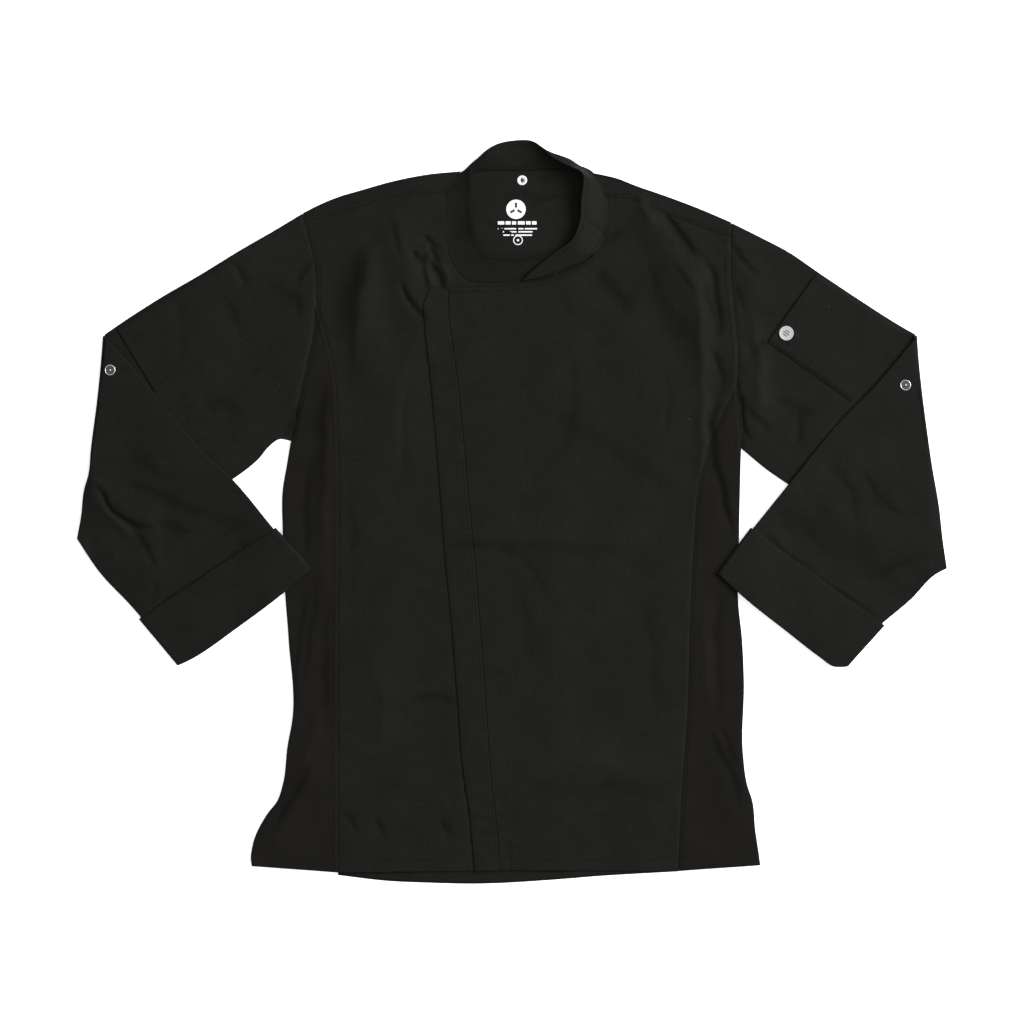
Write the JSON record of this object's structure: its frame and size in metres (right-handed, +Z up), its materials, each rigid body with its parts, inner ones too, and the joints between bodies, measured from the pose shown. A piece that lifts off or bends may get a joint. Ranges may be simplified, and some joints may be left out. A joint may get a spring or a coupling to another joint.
{
  "type": "chef jacket",
  "caption": "Long-sleeved black chef jacket laid flat with a band collar, offset fly placket, sleeve pockets and turned-up cuffs",
  "frame": {"origin": "the middle of the laid-out jacket's outline, on the surface that it lies on", "axes": "+X is to the wearer's left, across the body from elbow to elbow; +Y runs from hem to collar; +Z is up from the surface, out of the jacket's front"},
  "size_m": [0.9566, 0.8177, 0.0274],
  "materials": {
    "black_cloth": "fine matt poplin, black",
    "black_mesh": "dull knitted ventilation cloth, black",
    "snap_metal": "satin metal with a black face",
    "badge_white": "matt white"
  },
  "bodies": {
    "root": {"back_panel": "black_cloth", "back_yoke": "black_cloth", "front_right": "black_cloth", "front_left": "black_cloth", "placket": "black_cloth", "side_panel_right": "black_mesh", "side_panel_left": "black_mesh", "collar": "black_cloth", "sleeve_right": "black_cloth", "sleeve_left": "black_cloth", "cuff_right": "black_cloth", "cuff_left": "black_cloth", "pen_pocket_right": "black_cloth", "sleeve_pocket_left": "black_cloth", "pocket_tab_left": "black_cloth", "pocket_badge": "badge_white", "snap_neck": "snap_metal", "snap_sleeve_right": "snap_metal", "snap_sleeve_left": "snap_metal"}
  },
  "joints": []
}
